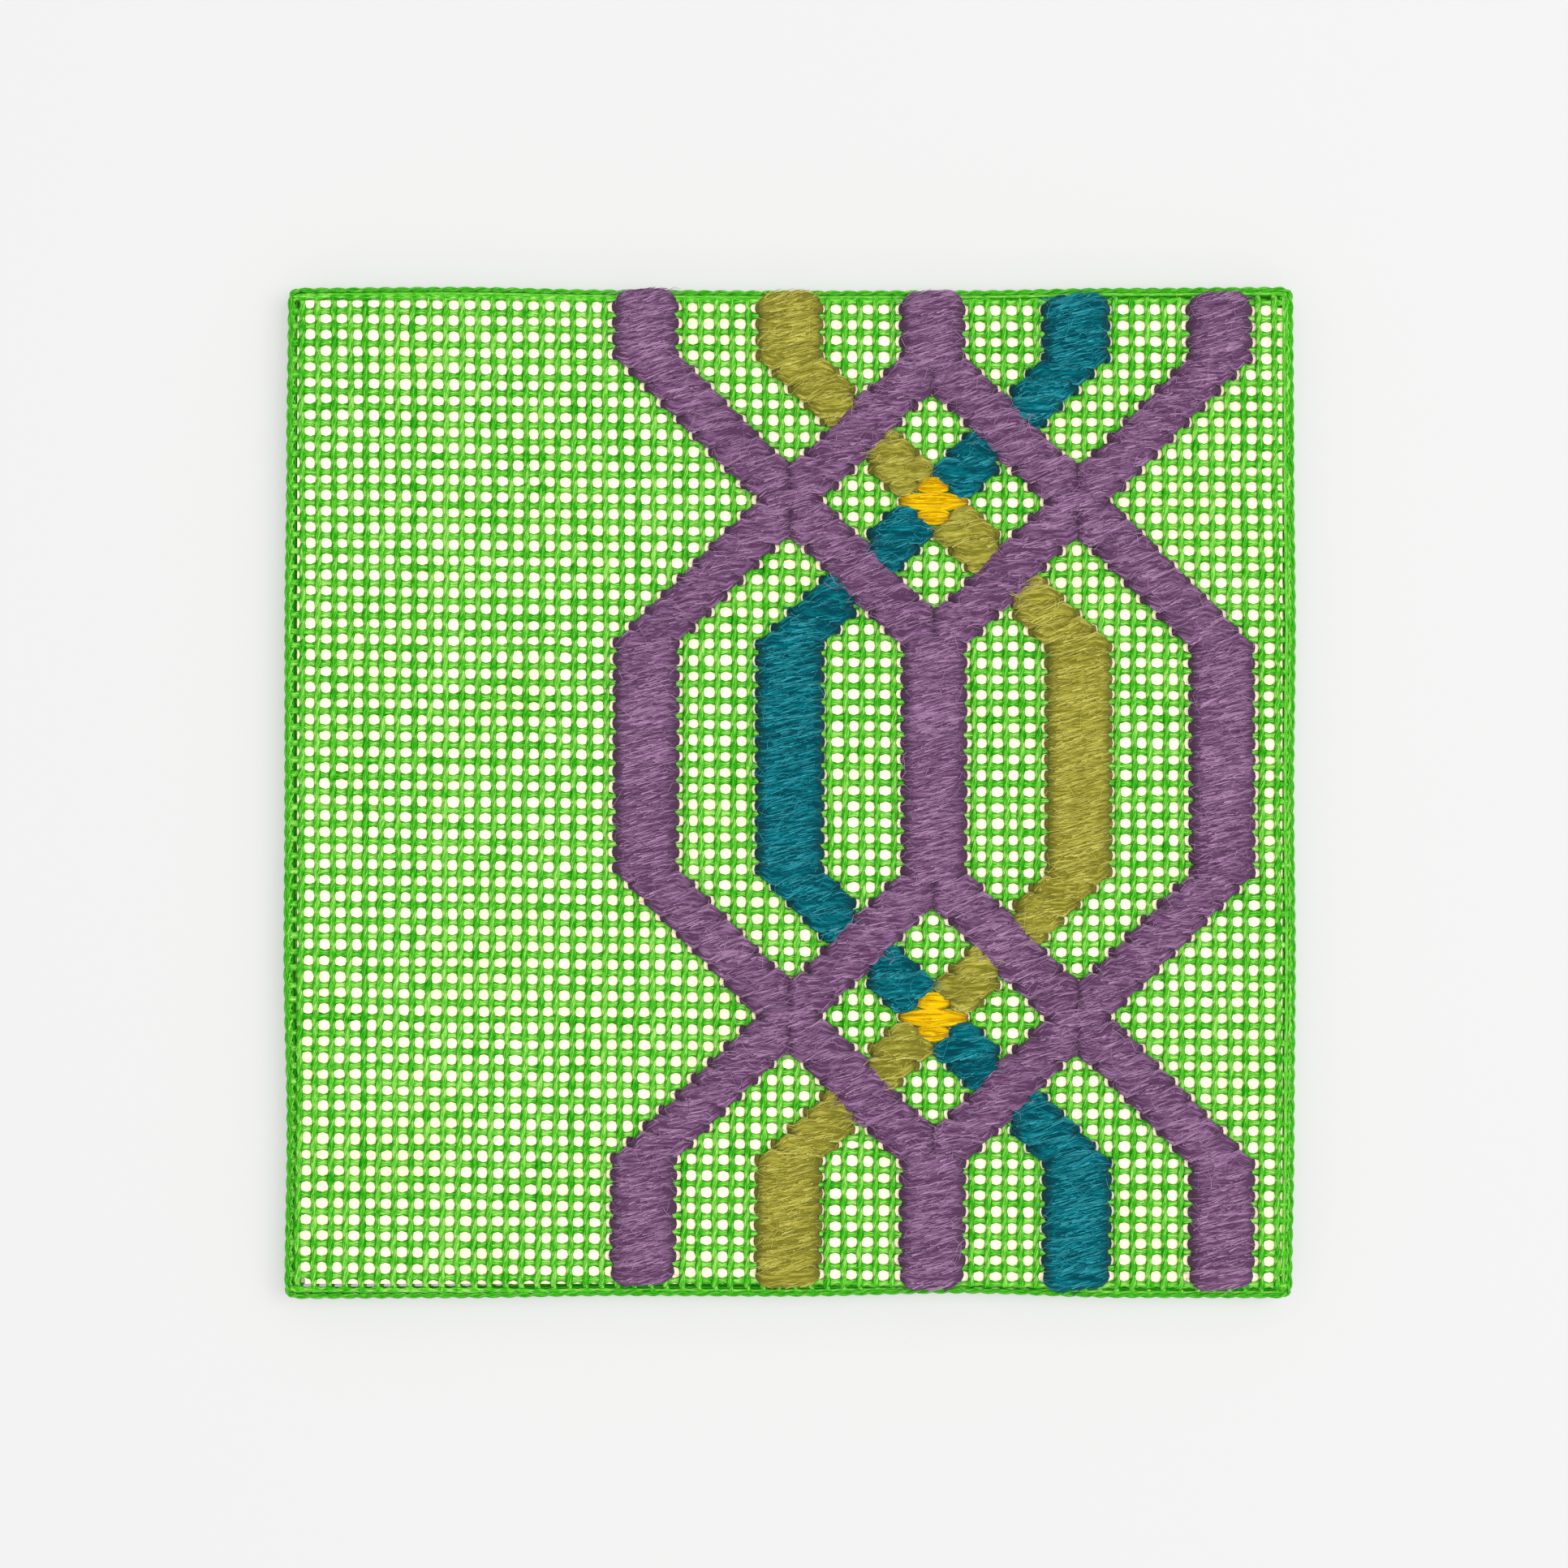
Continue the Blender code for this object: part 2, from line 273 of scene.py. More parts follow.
# The canvas threads
canvas = {
    "middle": -0.62 * mm,             # thread centres under the cloth's outer face
    "weftRadius": 0.77 * mm,          # where fuzz and twist swell it at a crossing
    "weftThin": 0.55,                 # where it crosses a hole, of its full radius
    "weftFlat": 0.55,                 # thickness against width
    "weftRound": 0.7,                 # how fast it swells from there, which rounds the holes
    "weftUneven": 0.06,
    "weftWaver": 0.03 * mm,           # up and down
    "weftTone": (0.08, -0.15),        # over a hole, and the change to a crossing: painted light over the holes, painted shade where the threads cross
    "strandRadius": 0.60 * mm,
    "strandThin": 0.38,
    "strandFlat": 0.55,
    "strandRound": 0.6,
    "strandUneven": 0.08,
    # painted light over a hole, and painted shade at a crossing
    "strandTone": (0.09, -0.13),
    "strandApart": 0.18 * mm,         # half the space between a warp's two strands
    "apartUneven": 0.2,
    "strandRise": 0.33 * mm,
    "strandSink": 0.22 * mm,          # on the folds at the top and the bottom
    "perCell": 4,                     # points of a thread from crossing to crossing
    "sides": 4,
    "toneNoise": 0.03,
    "toneSpread": 0.02,               # from thread to thread
    "cornerShare": 0.9,               # of the bend, past which only one set of threads goes on
    "wander": 0.075 * mm,             # slow unevenness of a thread's place
    "jitter": 0.050 * mm,             # from crossing to crossing
    "hemFrom": 1.65 * mm,             # inner layer of the folded edge, from the bend down the wall
    "hemTo": 5.6 * mm,
    "hemStep": 0.62 * mm,
    "hemPoints": 60,
    "hemPast": 1.0 * mm,              # how far it goes on past the corner of the flat face
    "hemRadius": 0.34 * mm,
    "hemLift": -1.06 * mm,
    # painted shade: the inner layer is darker as it lies deep in the fold
    "hemShade": -0.16,
    "hemFlat": 0.35,
    "fillDown": {"top": 1.15 * mm, "right": 0.45 * mm},   # one more thread, in the gap at the bend
    "fillLift": -0.5 * mm,
    "fillFlat": 0.7,
    "cordDown": 1.85 * mm,            # the twisted pair on the bend
    "cordLift": -0.06 * mm,
    "cordPoints": 250,
    "cordPast": 0.2 * mm,
    "cordSides": 5,
    "cordApart": 0.29 * mm,
    "cordRadius": 0.29 * mm,
    "cordTone": -0.06,
    "cordRise": 0.7,                  # of cordApart
    "cordFlat": 0.8,
    "cornerThreads": 7,               # bunched threads down each corner
    "cornerPoints": 10,
    "cornerAngles": (5, 85),          # degrees
    "cornerWalk": (-0.3, 5.4),        # from the bend down, in millimetres
    "cornerSink": 0.12 * mm,
    "cornerFlat": 0.7,
    "columns": (-31, 53),
    "rows": (-36, 42),
    "seed": 11,
    "look": {
        "dark": (8, 150, 6),
        "middle": (84, 204, 34),
        "light": (178, 243, 116),
        "roughness": 0.85,
        "gloss": 0.1,
        "sheen": 0.0,
        "streakScale": (0.8, 4.2, 4.2),
        "spread": 0.30,
        "bump": 0.8,
    },
}


def slowNoise(rng, count, spacing):
    # smooth random curve with unit size, one value a crossing
    knots = rng.normal(size=count // spacing + 3)
    place = np.arange(count) / spacing
    left = place.astype(int)
    blend = (1 - np.cos(math.pi * (place - left))) / 2
    return knots[left] * (1 - blend) + knots[left + 1] * blend


def threadShape(rng, crossing, kind):
    # radius and tone along a thread, which is thin over the holes, with painted light over them and painted
    # shade at the crossings
    thick = (0.5 - 0.5 * np.cos(2 * math.pi * crossing)) ** canvas[f"{kind}Round"]
    thin = canvas[f"{kind}Thin"]
    radius = canvas[f"{kind}Radius"] * (thin + (1 - thin) * thick)
    radius = radius * (1 + canvas[f"{kind}Uneven"] * slowNoise(rng, len(crossing), 4))
    # painted light over a hole, painted shade at a crossing
    overHole, change = canvas[f"{kind}Tone"]
    tone = overHole + change * thick + canvas["toneNoise"] * slowNoise(rng, len(crossing), 5)
    return radius, tone + rng.normal() * canvas["toneSpread"]


def addRuns(store, x, y, lift, radius, keepInside, tone, seed, flatten):
    # lays one thread round the board, in as many lengths as the corners leave of it
    places, outward, inside, overX, overY = foldOver(x, y, lift)
    inside &= keepInside(overX, overY)
    marks = np.flatnonzero(np.diff(np.concatenate([[0], inside.astype(int), [0]])))
    for start, end in zip(marks[::2], marks[1::2]):
        if end - start >= 3:
            store.addTube(places[start:end], outward[start:end], radius[start:end], canvas["sides"],
                          tone[start:end], seed, flatten)


def makeCanvas():
    # wefts lie between rows of holes, and each warp is two strands that cross over at every weft
    rng = np.random.default_rng(canvas["seed"])
    material = fibreMaterial("greenCotton", canvas["look"])
    firstColumn, lastColumn = canvas["columns"]
    firstRow, lastRow = canvas["rows"]
    columnCount = lastColumn - firstColumn
    rowCount = lastRow - firstRow
    perCell = canvas["perCell"]
    keep = canvas["cornerShare"] * panel["bend"] * math.pi / 2
    pushX = np.stack([slowNoise(rng, rowCount, 5) for _ in range(columnCount)]) * canvas["wander"]
    pushX += rng.normal(size=pushX.shape) * canvas["jitter"]
    pushY = np.stack([slowNoise(rng, columnCount, 5) for _ in range(rowCount)]) * canvas["wander"]
    pushY += rng.normal(size=pushY.shape) * canvas["jitter"]

    wefts = StrandStore()
    for number in range(rowCount):
        row = firstRow + number + 0.5
        column = np.arange(columnCount * perCell) / perCell + firstColumn
        x, y = holePlace(column, row)
        crossing = np.arange(columnCount) + firstColumn + 0.5
        y = y + np.interp(column, crossing, pushY[number])
        radius, tone = threadShape(rng, column, "weft")
        lift = np.full(len(column), canvas["middle"]) + canvas["weftWaver"] * slowNoise(rng, len(column), 3)
        addRuns(wefts, x, y, lift, radius, lambda overX, overY: ~((overY > keep) & (overX > overY)),
                tone, rng.random(), canvas["weftFlat"])
    weftPiece = wefts.makeObject("canvasWefts", material)

    strandPieces = []
    for strand, way in (("A", 1.0), ("B", -1.0)):
        store = StrandStore()
        for number in range(columnCount):
            column = firstColumn + number + 0.5
            row = np.arange(rowCount * perCell) / perCell + firstRow
            crossing = np.arange(rowCount) + firstRow + 0.5
            x, y = holePlace(column, row)
            sway = canvas["strandApart"] * (1 + canvas["apartUneven"] * slowNoise(rng, len(row), 6))
            x = x + np.interp(row, crossing, pushX[number]) + way * sway * np.cos(math.pi * row)
            lift = canvas["middle"] + way * canvas["strandRise"] * np.sin(math.pi * row)
            lift = lift - canvas["strandSink"] * (np.abs(y) > panel["halfSize"] - panel["bend"])
            radius, tone = threadShape(rng, row, "strand")
            addRuns(store, x, y, lift, radius, lambda overX, overY: ~((overX > keep) & (overY > overX)),
                    tone, rng.random(), canvas["strandFlat"])
        strandPieces.append(store.makeObject(f"canvasWarps{strand}", material))
    return weftPiece, [*strandPieces, makeHem(material)]


def makeHem(material):
    # the fold: an inner layer that closes the gaps, a twisted pair along the edge, bunched corners
    store = StrandStore()
    half = panel["halfSize"] - panel["bend"]
    for turnX, turnY, side in ((1, 0, "right"), (0, 1, "top"), (-1, 0, "left"), (0, -1, "bottom")):
        around = np.linspace(-1.0, 1.0, canvas["hemPoints"]) * (half + canvas["hemPast"])
        level = np.ones(len(around))
        for down in np.arange(canvas["hemFrom"], canvas["hemTo"], canvas["hemStep"]):
            # painted shade on the inner layer in the fold
            addAlong(store, turnX, turnY, side, around, down * level, canvas["hemLift"] * level,
                     canvas["hemRadius"], canvas["hemShade"], down / mm, canvas["hemFlat"])
        if side in canvas["fillDown"]:
            addAlong(store, turnX, turnY, side, around, canvas["fillDown"][side] * level,
                     canvas["fillLift"] * level, canvas["hemRadius"], 0.0, 9.0, canvas["fillFlat"])
        past = canvas["cordDown"] + canvas["cordPast"]
        around = np.linspace(-1.0, 1.0, canvas["cordPoints"]) * (half + past)
        for way in (1.0, -1.0):
            turn = 2 * math.pi * around / (2 * panel["holeStepX"])
            down = canvas["cordDown"] + way * canvas["cordApart"] * np.cos(turn)
            lift = canvas["cordLift"] + way * canvas["cordRise"] * canvas["cordApart"] * np.sin(turn)
            addAlong(store, turnX, turnY, side, around, down, lift, canvas["cordRadius"],
                     canvas["cordTone"], way * 3.0, canvas["cordFlat"])
    walked = np.linspace(*canvas["cornerWalk"], canvas["cornerPoints"]) * mm
    lift = np.full(len(walked), canvas["middle"] - canvas["cornerSink"])
    for wayX, sideX in ((1, "right"), (-1, "left")):
        for wayY, sideY in ((1, "top"), (-1, "bottom")):
            edgeX = half + float(swellAlong(sideX, np.array(wayY * half)))
            edgeY = half + float(swellAlong(sideY, np.array(wayX * half)))
            for angle in np.radians(np.linspace(*canvas["cornerAngles"], canvas["cornerThreads"])):
                places, outward, _, _, _ = foldOver(wayX * (edgeX + walked * math.cos(angle)),
                                                    wayY * (edgeY + walked * math.sin(angle)), lift)
                store.addTube(places, outward, canvas["cordRadius"], canvas["cordSides"],
                              canvas["cordTone"], angle * 7, canvas["cornerFlat"])
    return store.makeObject("canvasHem", material)


def addAlong(store, turnX, turnY, side, around, down, lift, radius, tone, seed, flatten):
    # a thread that follows one edge of the board, a given way down its fold
    flat = panel["halfSize"] - panel["bend"] + swellAlong(side, around * (turnX - turnY)) + down
    x = turnX * flat - turnY * around
    y = turnY * flat + turnX * around
    places, outward, _, _, _ = foldOver(x, y, lift)
    store.addTube(places, outward, radius, canvas["cordSides"], tone, seed, flatten)


# The embroidery: which holes each stitch joins, row by row
chart = {
    "cells": 4,                       # a full stitch reaches over four threads
    "pitch": 9,                       # columns between bars, rows of each slope
    "firstRow": -28,
    "lastRow": 33,
    "crossingRows": (-15, 17),
    "middleRow": 1,
    "barCentre": 18,
    # where two bars share holes, one row from a crossing and one row from an upright bar
    "nearCrossing": [(8, 11), (11, 14), (26, 29), (29, 32)],
    "nearBar": [(1, 5), (17, 20), (20, 23), (35, 39)],
}


def purpleSpans(row):
    # the trellis: four bars that slope between upright bars and the crossings
    pitch = chart["pitch"]
    slope = min(pitch, *[abs(row - crossing) for crossing in chart["crossingRows"]])
    if slope == 1:
        return chart["nearCrossing"]
    if slope == pitch - 1:
        return chart["nearBar"]
    starts = {pitch - slope, pitch + slope, 3 * pitch - slope, 3 * pitch + slope}
    return [(start, start + chart["cells"]) for start in sorted(starts)]


def cutSpans(span, covers):
    # what is left of a span of holes that other stitches cover in part
    leftOver = [span]
    for low, high in covers:
        parts = []
        for start, end in leftOver:
            if start < min(end, low):
                parts.append((start, min(end, low)))
            if max(start, high) < end:
                parts.append((max(start, high), end))
        leftOver = parts
    return leftOver


def rowStitches(row):
    # all stitches of a row. Purple and yellow lie over olive and teal, which fill what is left
    purple = purpleSpans(row)
    distance = min(abs(row - crossing) for crossing in chart["crossingRows"])
    centre = chart["barCentre"]
    cells = chart["cells"]
    yellow = {0: [(centre, centre + cells)], 1: [(centre + 1, centre + cells - 1)]}.get(distance, [])
    top, bottom = chart["crossingRows"]
    sway = row - top if row < chart["middleRow"] else bottom - row
    sway = max(-chart["pitch"], min(chart["pitch"], sway))
    found = [("purple", *span) for span in purple] + [("yellow", *span) for span in yellow]
    for colour, start in (("olive", centre + sway), ("teal", centre - sway)):
        for span in cutSpans((start, start + cells), purple + yellow):
            found.append((colour, *span))
    return found


# The wool
wool = {
    "bodyHeight": 0.95 * mm,          # middle of a stitch over the cloth's face
    "halfWidth": 1.34 * mm,
    "halfHeight": 0.15 * mm,
    "slant": 0.26 * mm,               # a stitch leaves its left hole low and enters the right one high
    # painted shade: the body shows only in the gaps between plies and fibres
    "bodyShade": -0.10,
    "bodyFlat": 0.30,
    "sizeLength": 7 * mm,             # a shorter stitch is smaller in its other measures too
    "shortHeight": 0.8,
    # profiles along a stitch: values at four distances from its end and, if five, at its middle
    "sideMarks": (0.0, 0.4 * mm, 1.1 * mm, 2.2 * mm),
    "heldSide": (0.76, 0.92, 1.0, 1.0),
    "freeSide": (0.04, 0.34, 0.90, 1.48),
    "topSide": (0.05, 0.18, 0.50, 0.70, 0.72),
    "bottomSide": (0.34, 0.66, 1.02, 1.22, 1.24),
    "arch": (-0.75, 0.10, 0.64, 0.81, 0.84),        # height, in millimetres
    # painted shade: darker towards the ends, where the wool dives into its holes
    "endShade": (-0.26, -0.10, -0.02, 0, 0),
    # how far the left and the right end pass the middle of their hole, and an end that shares one
    "endReach": {"purple": (-0.34 * mm, -0.24 * mm), "olive": (-0.34 * mm, -0.08 * mm),
                 "teal": (-0.08 * mm, -0.04 * mm), "yellow": (0.30 * mm, 0.30 * mm)},
    "sharedReach": 0.32 * mm,
    "rootAlong": (-0.30 * mm, 0.10 * mm, 0.30 * mm),   # the wool goes on down into its hole
    "rootLift": (-0.30 * mm, -0.62 * mm, -0.98 * mm),
    "rootRadius": (0.98 * mm, 0.96 * mm, 0.84 * mm),
    # painted shade: the wool in the hole is darker
    "rootShade": -0.25,
    "rootFlat": 0.4,
    "plyRadius": 0.235 * mm,
    "plyThin": 0.72,                  # share of its radius that a ply keeps where the stitch ends
    "plySpace": 0.60,                 # radians from ply to ply round the stitch
    "plyReach": 1.75,                 # radians from the top, where a ply goes under
    "plyShortest": 0.9 * mm,
    "plyStep": 0.3 * mm,              # least space between the first two points of a ply
    "twist": 0.215 / mm,              # radians along the stitch, so plies rise to the right
    "fibres": 72,                     # fine surface fibres on a stitch of this length
    "fullLength": 10 * mm,
    "fibreLong": (1.0, 3.4),          # in millimetres
    "fibreWidth": 0.14 * mm,
    "fibreSlope": 0.245,
    "fibreTone": 0.155,
    "hairs": 20,                      # loose ones
    "hairWidth": 0.065 * mm,
    "hairTone": (0.06, 0.14),         # mean and spread
    "hairTurn": 0.16,                 # mean way it lies, in radians
    "hairSpread": (0.6, 0.2),         # of that way, in the open and on a fold
    "hairBow": 0.18,                  # of its length
    "hairAcross": 1.15,               # millimetres up or down from the middle of its stitch
    "hairAcrossTop": -0.7,            # the highest on the top row
    "hairLift": (0.42, 0.3),          # millimetres, of its ends and of its middle above them
    "bendSink": 0.35 * mm,            # the top row lies flat on the fold
    "bendPull": {"purple": 0.95 * mm, "olive": 1.3 * mm, "teal": 1.4 * mm},
    # yellow lies smooth: its own marks and sides, and shares of the twist and of the numbers above
    "smooth": {"marks": (0.0, 0.5 * mm, 1.6 * mm, 3.2 * mm), "sizeLength": 9 * mm,
               "side": (0.26, 0.44, 0.68, 0.86, 0.90), "twist": 0.15, "plySpace": 0.6,
               "fibres": 0.35, "fibreSlope": 0.03},
    # spread of what differs from stitch to stitch, ply to ply and fibre to fibre
    "uneven": {"height": 0.05, "place": 0.05 * mm, "width": 0.03, "tone": 0.015,
               "plyTurn": 0.08, "plyRadius": 0.12, "plyTone": 0.07, "plyLift": 0.04 * mm,
               "plyStart": 0.08 * mm, "fibreSlope": 0.09, "fibreLift": 0.07 * mm},
    "seed": 5,
    "looks": {
        "purple": {"dark": (86, 54, 85), "middle": (129, 93, 129), "light": (171, 132, 169)},
        "olive": {"dark": (116, 112, 35), "middle": (165, 158, 61), "light": (200, 193, 95)},
        "teal": {"dark": (0, 64, 76), "middle": (0, 110, 121), "light": (50, 154, 166)},
        "yellow": {"dark": (182, 134, 0), "middle": (243, 196, 0), "light": (255, 216, 16)},
    },
    "finish": {"roughness": 0.95, "gloss": 0.05, "sheen": 0.08, "streakScale": (0.25, 2.8, 2.8),
               "spread": 0.30, "bump": 0.9},
}


def bothEnds(half):
    # a profile from an end to the middle, and the same way back
    return np.array([*half, *half[-2::-1]])


def sideProfile(colour, row, start, end, near):
    # how far one side of a stitch reaches, from its left end to its right. An end with no stitch
    # of its colour beside it is drawn in along the slope of the bar
    beside = rowStitches(row) if chart["firstRow"] <= row <= chart["lastRow"] else []
    kin = [(low, high) for name, low, high in beside if name == colour]
    leftHeld = any(low <= start < high for low, high in kin)
    rightHeld = any(low < end <= high for low, high in kin)
    left = np.interp(near, wool["sideMarks"], wool["heldSide"] if leftHeld else wool["freeSide"])
    right = np.interp(near, wool["sideMarks"], wool["heldSide"] if rightHeld else wool["freeSide"])
    return np.array([*left, max(min(1.0, left[-1]), min(left[-1], right[-1])), *right[::-1]])


class Stitch:
    # where one long stitch runs, and its width, height and tone at nine places along it
    def __init__(self, rng, colour, start, end, row):
        self.smooth = wool["smooth"] if colour == "yellow" else None
        self.startX, startY = holePlace(start, row)
        endX, endY = holePlace(end, row)
        used = [edge for _, low, high in rowStitches(row) for edge in (low, high)]
        leftShared, rightShared = used.count(start) > 1, used.count(end) > 1
        self.startX -= wool["sharedReach"] if leftShared else wool["endReach"][colour][0]
        endX += wool["sharedReach"] if rightShared else wool["endReach"][colour][1]
        self.startY = startY
        self.tips = ((-1, self.startX, startY, not leftShared), (1, endX, endY, not rightShared))
        self.length = endX - self.startX
        self.size = min(1.0, self.length / wool["sizeLength"])
        near = np.array(wool["sideMarks"]) * self.size
        if self.smooth:
            near = np.array(self.smooth["marks"]) * min(1.0, self.length / self.smooth["sizeLength"])
        self.walked = np.concatenate([near, [self.length / 2], self.length - near[::-1]])
        self.atTop = row == chart["firstRow"]
        self.atBottom = row == chart["lastRow"]
        upper = sideProfile(colour, row - 1, start, end, near)
        lower = sideProfile(colour, row + 1, start, end, near)
        if self.smooth:
            upper = lower = bothEnds(self.smooth["side"])
        if self.atTop:
            upper = bothEnds(wool["topSide"])
        if self.atBottom:
            lower = bothEnds(wool["bottomSide"])

        uneven = wool["uneven"]
        high = bothEnds(wool["arch"]) * mm
        kept = wool["shortHeight"] + (1 - wool["shortHeight"]) * self.size
        high = np.where(high > 0, high * (wool["bodyHeight"] / high.max()) * kept, high)
        self.high = high + np.clip(high, 0, None) * rng.normal() * uneven["height"]
        centreY = startY + (endY - startY) * self.walked / self.length + rng.normal() * uneven["place"]
        self.centreY = centreY + (upper - lower) / 2 * wool["halfWidth"]
        if self.atTop:
            self.high = self.high - wool["bendSink"]
            self.centreY = self.centreY - wool["bendPull"].get(colour, 0.0)
        if not self.smooth:
            self.centreY = self.centreY + wool["slant"] * (self.walked / self.length * 2 - 1) * self.size
        self.wide = (upper + lower) / 2
        self.halfWidth = wool["halfWidth"] * self.wide * (1 + rng.normal() * uneven["width"])
        self.halfHeight = wool["halfHeight"] * np.minimum(1.0, self.wide + 0.1)
        self.tone = rng.normal() * uneven["tone"]
        # painted shade towards both ends
        self.ends = bothEnds(wool["endShade"])

    def at(self, values, along):
        # one of its profiles, read at other places along it
        return np.interp(along, self.walked, values)


def addStitch(store, rng, colour, start, end, row):
    # a soft body with plies twisted round it, fibres on it, and both ends drawn into holes
    stitch = Stitch(rng, colour, start, end, row)
    places, outward, _, _, _ = foldOver(stitch.startX + stitch.walked, stitch.centreY, stitch.high)
    # painted shade on the body, and more of it towards its ends
    store.addTube(places, outward, stitch.halfWidth, 8, stitch.tone + wool["bodyShade"] + stitch.ends,
                  rng.random(), wool["bodyFlat"])
    for way, tipX, tipY, alone in stitch.tips:
        if alone and not (stitch.smooth or stitch.atTop or stitch.atBottom):
            # the wool goes on down into the hole, darkened there as painted shade
            places, outward, _, _, _ = foldOver(tipX + way * np.array(wool["rootAlong"]), np.full(3, tipY),
                                                np.array(wool["rootLift"]))
            store.addTube(places, outward, np.array(wool["rootRadius"]), 6,
                          stitch.tone + wool["rootShade"], rng.random(), wool["rootFlat"])
    addPlies(store, rng, stitch)
    addFibres(store, rng, stitch)
    if not stitch.smooth:
        for _ in range(int(round(wool["hairs"] * stitch.length / wool["fullLength"] * stitch.size))):
            addHair(store, rng, stitch)


def addPlies(store, rng, stitch):
    # thin strands that wind round the stitch and go under at its sides
    uneven = wool["uneven"]
    length = stitch.length
    twist = wool["twist"] * (stitch.smooth["twist"] if stitch.smooth else 1.0)
    space = wool["plySpace"] * (stitch.smooth["plySpace"] if stitch.smooth else 1.0)
    reach = wool["plyReach"]
    farthest = reach + twist * length / 2
    for phase in np.arange(-farthest + 0.1, farthest, space):
        phase += rng.normal() * uneven["plyTurn"]
        low = max(0.0, length / 2 + (-reach - phase) / twist)
        top = min(length, length / 2 + (reach - phase) / twist)
        if top - low < wool["plyShortest"]:
            continue
        between = (stitch.walked > low + wool["plyStep"]) & (stitch.walked < top - wool["plyStep"])
        along = np.concatenate([[low], stitch.walked[between], [top]])
        turn = phase + twist * (along - length / 2)
        thin = wool["plyThin"] + (1 - wool["plyThin"]) * stitch.at(stitch.wide, along)
        radius = wool["plyRadius"] * thin * (1 + rng.normal() * uneven["plyRadius"])
        shade = stitch.tone + rng.normal() * uneven["plyTone"] + stitch.at(stitch.ends, along)
        y = stitch.at(stitch.centreY, along) + stitch.at(stitch.halfWidth, along) * np.sin(turn)
        lift = stitch.at(stitch.high, along) + stitch.at(stitch.halfHeight, along) * np.cos(turn)
        lift = lift + rng.normal() * uneven["plyLift"]
        x = stitch.startX + along + rng.normal() * uneven["plyStart"]
        places, outward, _, _, _ = foldOver(x, y, lift)
        store.addTube(places, outward, radius, 4, shade, rng.random())


def addFibres(store, rng, stitch):
    # fine fibres on the surface, which bridge the furrow to the next row
    uneven = wool["uneven"]
    slope = stitch.smooth["fibreSlope"] if stitch.smooth else wool["fibreSlope"]
    share = stitch.length / wool["fullLength"] * (stitch.smooth["fibres"] if stitch.smooth else 1.0)
    for _ in range(int(round(wool["fibres"] * share))):
        long = rng.uniform(*wool["fibreLong"]) * mm * stitch.size
        first = rng.uniform(0.0, max(stitch.length - long, 0.2 * mm))
        along = first + np.linspace(0.0, 1.0, 4) * min(long, stitch.length)
        side = rng.uniform(-1.0, 1.0)
        y = stitch.at(stitch.centreY, along) + side * stitch.at(stitch.halfWidth, along)
        y = y + (slope + rng.normal() * uneven["fibreSlope"]) * (along - along.mean())
        top = stitch.at(stitch.halfHeight, along) * math.sqrt(1 - 0.7 * side * side)
        lift = stitch.at(stitch.high, along) + top + wool["plyRadius"] * 0.9
        lift = lift + rng.uniform(0, uneven["fibreLift"])
        shade = stitch.tone + rng.normal() * wool["fibreTone"] + stitch.at(stitch.ends, along.mean())
        places, _, _, _, _ = foldOver(stitch.startX + along, y, lift)
        store.addHair(places, wool["fibreWidth"] * rng.uniform(0.6, 1.4), shade, rng.random())


def addHair(store, rng, stitch):
    # a loose fibre that leaves the wool and lies back on it, flatter where the wool is on a fold
    onFold = stitch.atTop or stitch.atBottom
    long = rng.uniform(*wool["fibreLong"]) * mm
    way = rng.normal() * wool["hairSpread"][onFold] + wool["hairTurn"]
    middleX = stitch.startX + rng.uniform(-0.04, 1.04) * stitch.length
    highest = wool["hairAcrossTop"] if stitch.atTop else wool["hairAcross"]
    middleY = stitch.startY + rng.uniform(-wool["hairAcross"], highest) * mm
    step = np.linspace(-0.5, 0.5, 3)
    arc = 1 - 4 * step ** 2
    bow = rng.normal() * wool["hairBow"] * long
    x = middleX + math.cos(way) * step * long - math.sin(way) * bow * arc
    y = middleY + math.sin(way) * step * long + math.cos(way) * bow * arc
    ends, rise = wool["hairLift"]
    lift = wool["bodyHeight"] + (ends + rise * rng.random() * arc) * mm
    lift = lift - (wool["bendSink"] if onFold else 0.0)
    places, _, _, _, _ = foldOver(x, y, lift)
    tone, spread = wool["hairTone"]
    store.addHair(places, wool["hairWidth"] * rng.uniform(0.6, 1.3), tone + rng.normal() * spread,
                  rng.random())


def makeWool():
    # each colour in an upper and a lower piece
    rng = np.random.default_rng(wool["seed"])
    stores = {colour: [StrandStore(), StrandStore()] for colour in wool["looks"]}
    for row in range(chart["firstRow"], chart["lastRow"] + 1):
        for colour, start, end in rowStitches(row):
            lower = int(row > chart["middleRow"])
            addStitch(stores[colour][lower], rng, colour, start, end, row)
    pieces = {}
    for colour, halves in stores.items():
        material = fibreMaterial(f"{colour}Wool", {**wool["finish"], **wool["looks"][colour]})
        pieces[colour] = [store.makeObject(f"{colour}Wool{half}", material)
                          for store, half in zip(halves, ("Upper", "Lower"))]
    return pieces


# The board inside the fold keeps its CAD solid and gets a paper face
board = {
    "face": (250, 238, 230),
    "warm": (250, 230, 204),
    "paintedGlow": 0.33,                     # painted light: an emission, though the paper is no lamp, that lifts the paper to near white
    # painted light: the glow's cream colour, which shows as cream rims where the threads shade the holes
    "paintedGlowColour": (255, 232, 176),
    "roughness": 0.75,
    "gloss": 0.2,
    "mottle": 60.0,
    "mottleRange": (0.25, 0.55),      # of the noise, from warm to face
    "grain": 2500.0,
    "grainBump": 0.15,
    "grainDepth": 0.05 * mm,
}


